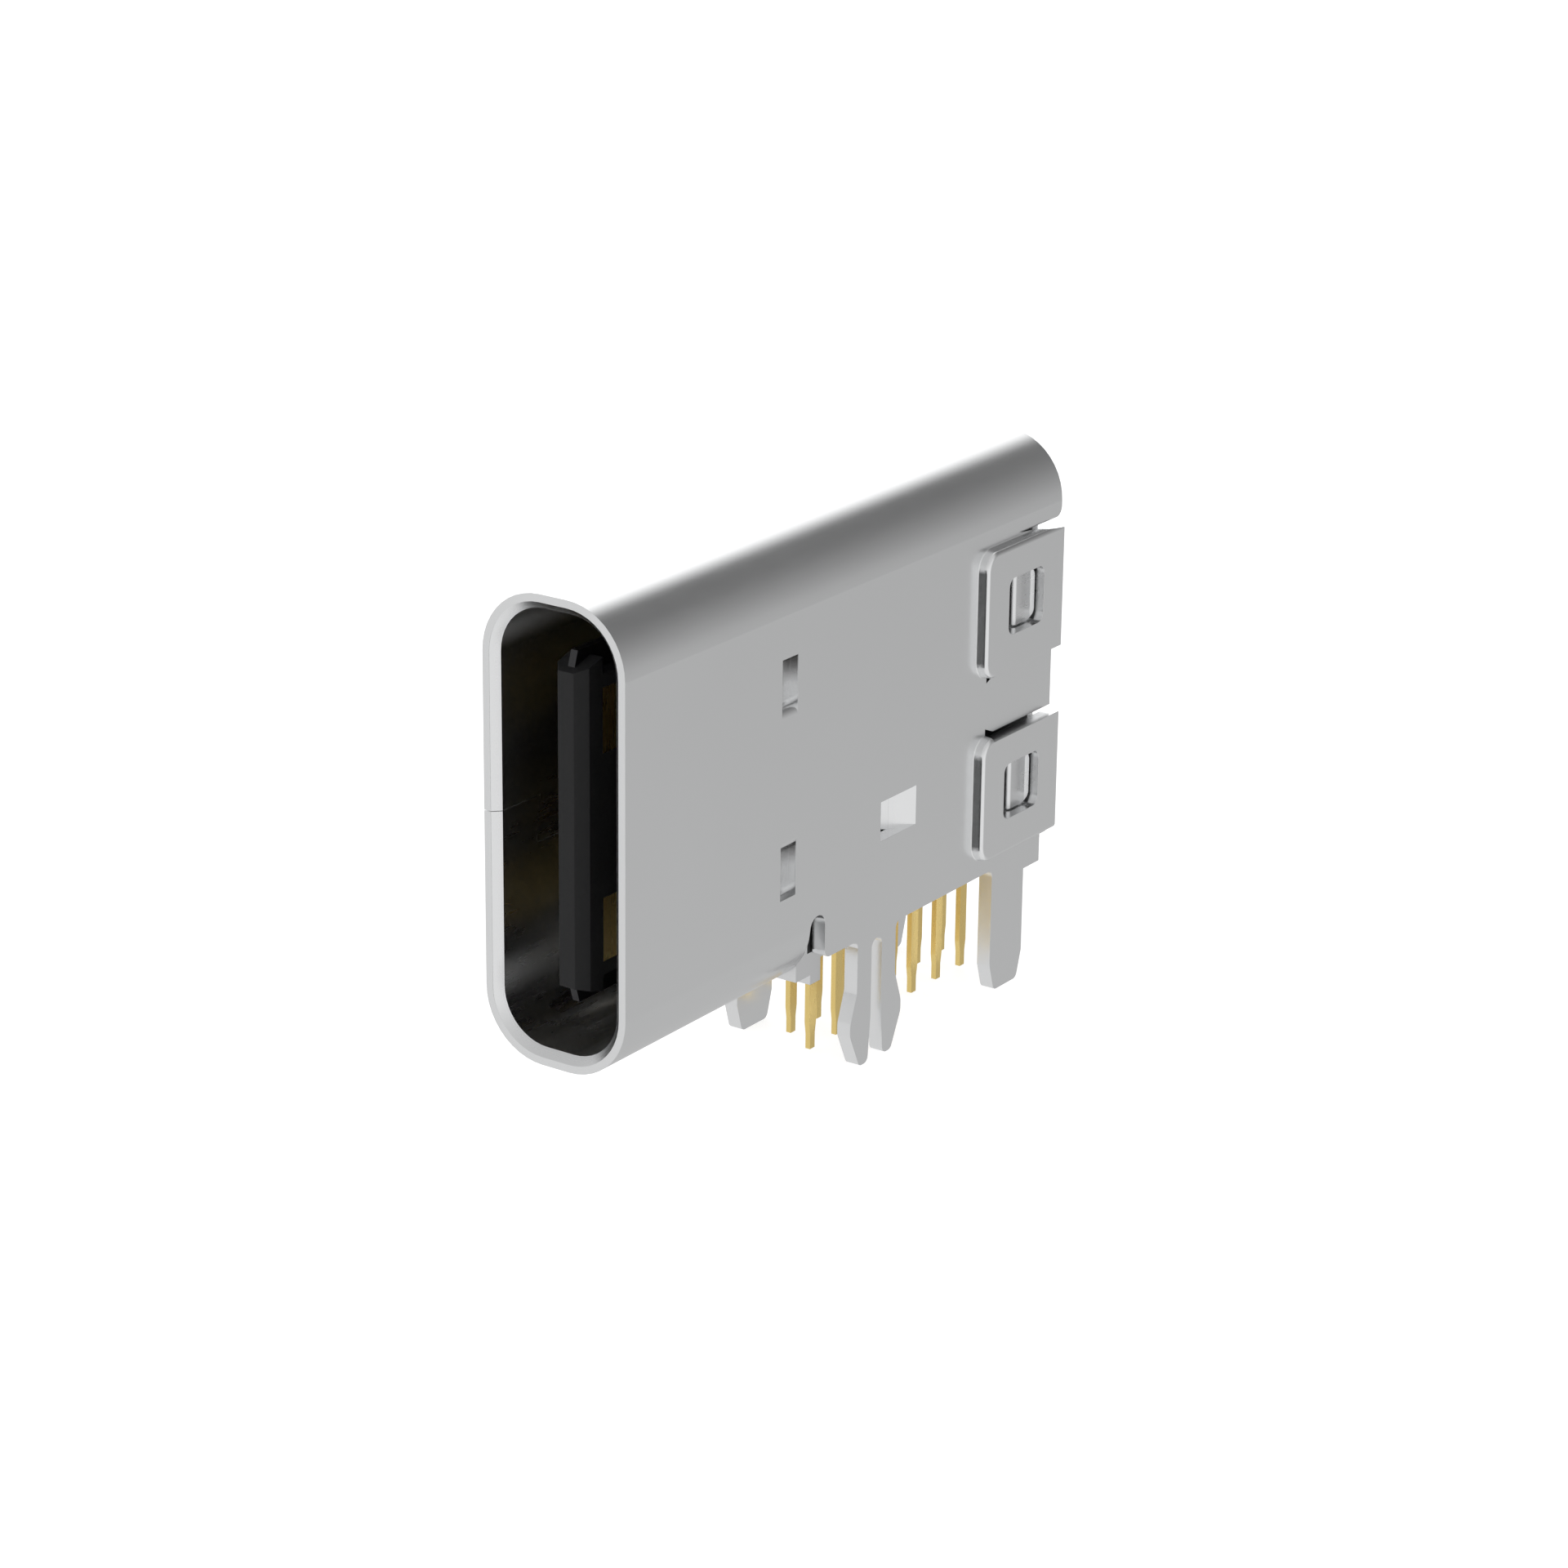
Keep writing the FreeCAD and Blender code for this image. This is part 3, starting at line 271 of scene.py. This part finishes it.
looks = {
    "shell_steel": plated_steel((0.80, 0.805, 0.81), 0.24, shell=True),
    "cover_steel": plated_steel((0.77, 0.775, 0.78), 0.28),
    # This steel's near-black tint is painted shade: the plate sits deep inside the dark mouth.
    "plate_steel": plated_steel((0.06, 0.06, 0.062), 0.38),
    "shield_steel": plated_steel((0.60, 0.60, 0.61), 0.32),
    "organizer_grey": plated_steel((0.78, 0.785, 0.79), 0.30),
    "housing_black": moulded((0.015, 0.015, 0.016), 0.46, 0.29),
    "carrier_black": moulded((0.036, 0.036, 0.038), 0.52, 0.4),
    "contact_gold": gold_flash,
}
made = {name: finish_material(name + "_look", look) for name, look in looks.items()}
for entry in frame["record"]["subparts"]:
    for slot in nodes[entry["node"]].material_slots:
        slot.material = made[entry["material_slot"]]


# Floor, backdrop and light

def rays(graph):
    """1 for camera and transmission rays, and 1 for glossy rays."""
    path = graph.add("ShaderNodeLightPath")
    seen = graph.math("MAXIMUM", path.outputs["Is Camera Ray"], path.outputs["Is Transmission Ray"])
    return seen, path.outputs["Is Glossy Ray"]


def floor():
    """Pale paper under the legs: white to the camera, with the soft shadow left on it."""
    span = 1.5
    low = cad_box[0][2] - 0.002 * MM
    mesh = bpy.data.meshes.new("floor")
    corners = [(-span, -span, low), (span, -span, low), (span, span, low), (-span, span, low)]
    mesh.from_pydata(corners, [], [(0, 1, 2, 3)])
    plane = bpy.data.objects.new("floor", mesh)
    bpy.context.scene.collection.objects.link(plane)
    material = bpy.data.materials.new("floor_paper")
    material.use_nodes = True
    graph = Graph(material.node_tree)
    seen, glossy = rays(graph)
    paper = graph.add("ShaderNodeBsdfDiffuse")
    paper.inputs["Color"].default_value = grey(0.50)
    glow = graph.add("ShaderNodeEmission")
    graph.set(glow.inputs["Strength"], graph.product(seen, 0.80))
    both = graph.add("ShaderNodeAddShader")
    graph.set(both.inputs[0], paper.outputs[0])
    graph.set(both.inputs[1], glow.outputs[0])
    clear = graph.add("ShaderNodeBsdfTransparent")
    choice = graph.add("ShaderNodeMixShader")
    graph.set(choice.inputs[0], glossy)
    graph.set(choice.inputs[1], both.outputs[0])
    graph.set(choice.inputs[2], clear.outputs[0])
    output = graph.add("ShaderNodeOutputMaterial")
    graph.set(output.inputs["Surface"], choice.outputs[0])
    mesh.materials.append(material)


def studio():
    """A pale room: white wall behind on the left, dim above on the right, one dark flag in front."""
    white_side = (-1.0, 0.0, 0.355)
    flag_side = (0.120, -0.932, -0.341)
    world = bpy.data.worlds.new("studio")
    bpy.context.scene.world = world
    world.use_nodes = True
    graph = Graph(world.node_tree)
    way = graph.add("ShaderNodeTexCoord").outputs["Generated"]
    side, depth, height = (graph.dot(way, axis) for axis in ((1, 0, 0), (0, 1, 0), (0, 0, 1)))
    wall = graph.span(height, -0.38, 0.52, 0.545, 0.175, kind="LINEAR")
    front = graph.total(graph.span(height, -0.10, 0.80, 0.83, 0.63), graph.product(side, 0.085))
    room = graph.add("ShaderNodeMix", data_type="FLOAT")
    graph.set(room.inputs["Factor"], graph.span(depth, 0.25, 0.72))
    graph.set(room.inputs["A"], front)
    graph.set(room.inputs["B"], wall)
    white = graph.product(
        graph.span(graph.dot(way, white_side), 0.15, 0.60, 0.0, 1.45),
        graph.span(depth, 0.25, 0.65),
        graph.span(height, -0.62, -0.12, 0.45, 1.0),
    )
    flag = graph.span(graph.dot(way, flag_side), 0.918, 0.945, 1.0, 0.0)
    level = graph.total(graph.product(room.outputs["Result"], flag), white)
    seen, _ = rays(graph)
    unseen = graph.math("SUBTRACT", 1.0, seen)
    sky = graph.add("ShaderNodeBackground")
    sky.inputs["Color"].default_value = grey(1.0)
    graph.set(sky.inputs["Strength"], graph.total(graph.product(level, unseen), seen))
    output = graph.add("ShaderNodeOutputWorld")
    graph.set(output.inputs["Surface"], sky.outputs[0])


def softbox(name, place, aim, size, power):
    lamp = bpy.data.lights.new(name, "AREA")
    lamp.shape = "SQUARE"
    lamp.size = size
    lamp.energy = power
    holder = bpy.data.objects.new(name, lamp)
    bpy.context.scene.collection.objects.link(holder)
    holder.location = place
    holder.visible_glossy = False
    holder.rotation_euler = (Vector(aim) - Vector(place)).to_track_quat("-Z", "Y").to_euler()


floor()
studio()
softbox("front_box", (-0.16, -0.22, 0.24), (0.0, 0.0, 0.004), 0.22, 0.20)


# Camera: solved from the mouth rim of the photograph

def camera():
    from_mouth = (45.64224, -58.83225, 27.52075)
    turn, rise, roll = (math.radians(angle) for angle in (34.6658, 19.5919, 0.66396))
    back = Vector((math.sin(turn) * math.cos(rise), -math.cos(turn) * math.cos(rise), math.sin(rise)))
    right = Vector((math.cos(turn), math.sin(turn), 0.0))
    up = back.cross(right)
    right, up = (math.cos(roll) * right + math.sin(roll) * up, math.cos(roll) * up - math.sin(roll) * right)
    lens = bpy.data.cameras.new("camera")
    lens.sensor_width = 36.0
    lens.lens = 102.3475
    lens.clip_start = 0.005
    lens.clip_end = 10.0
    eye = bpy.data.objects.new("camera", lens)
    bpy.context.scene.collection.objects.link(eye)
    place = (Vector(from_mouth) + Vector((0.0, MOUTH_FRONT, MOUTH_MIDDLE))) * MM
    turned = Matrix((right, up, back)).transposed().to_4x4()
    eye.matrix_world = Matrix.Translation(place) @ turned
    bpy.context.scene.camera = eye


camera()
bpy.context.scene.view_settings.view_transform = "Standard"
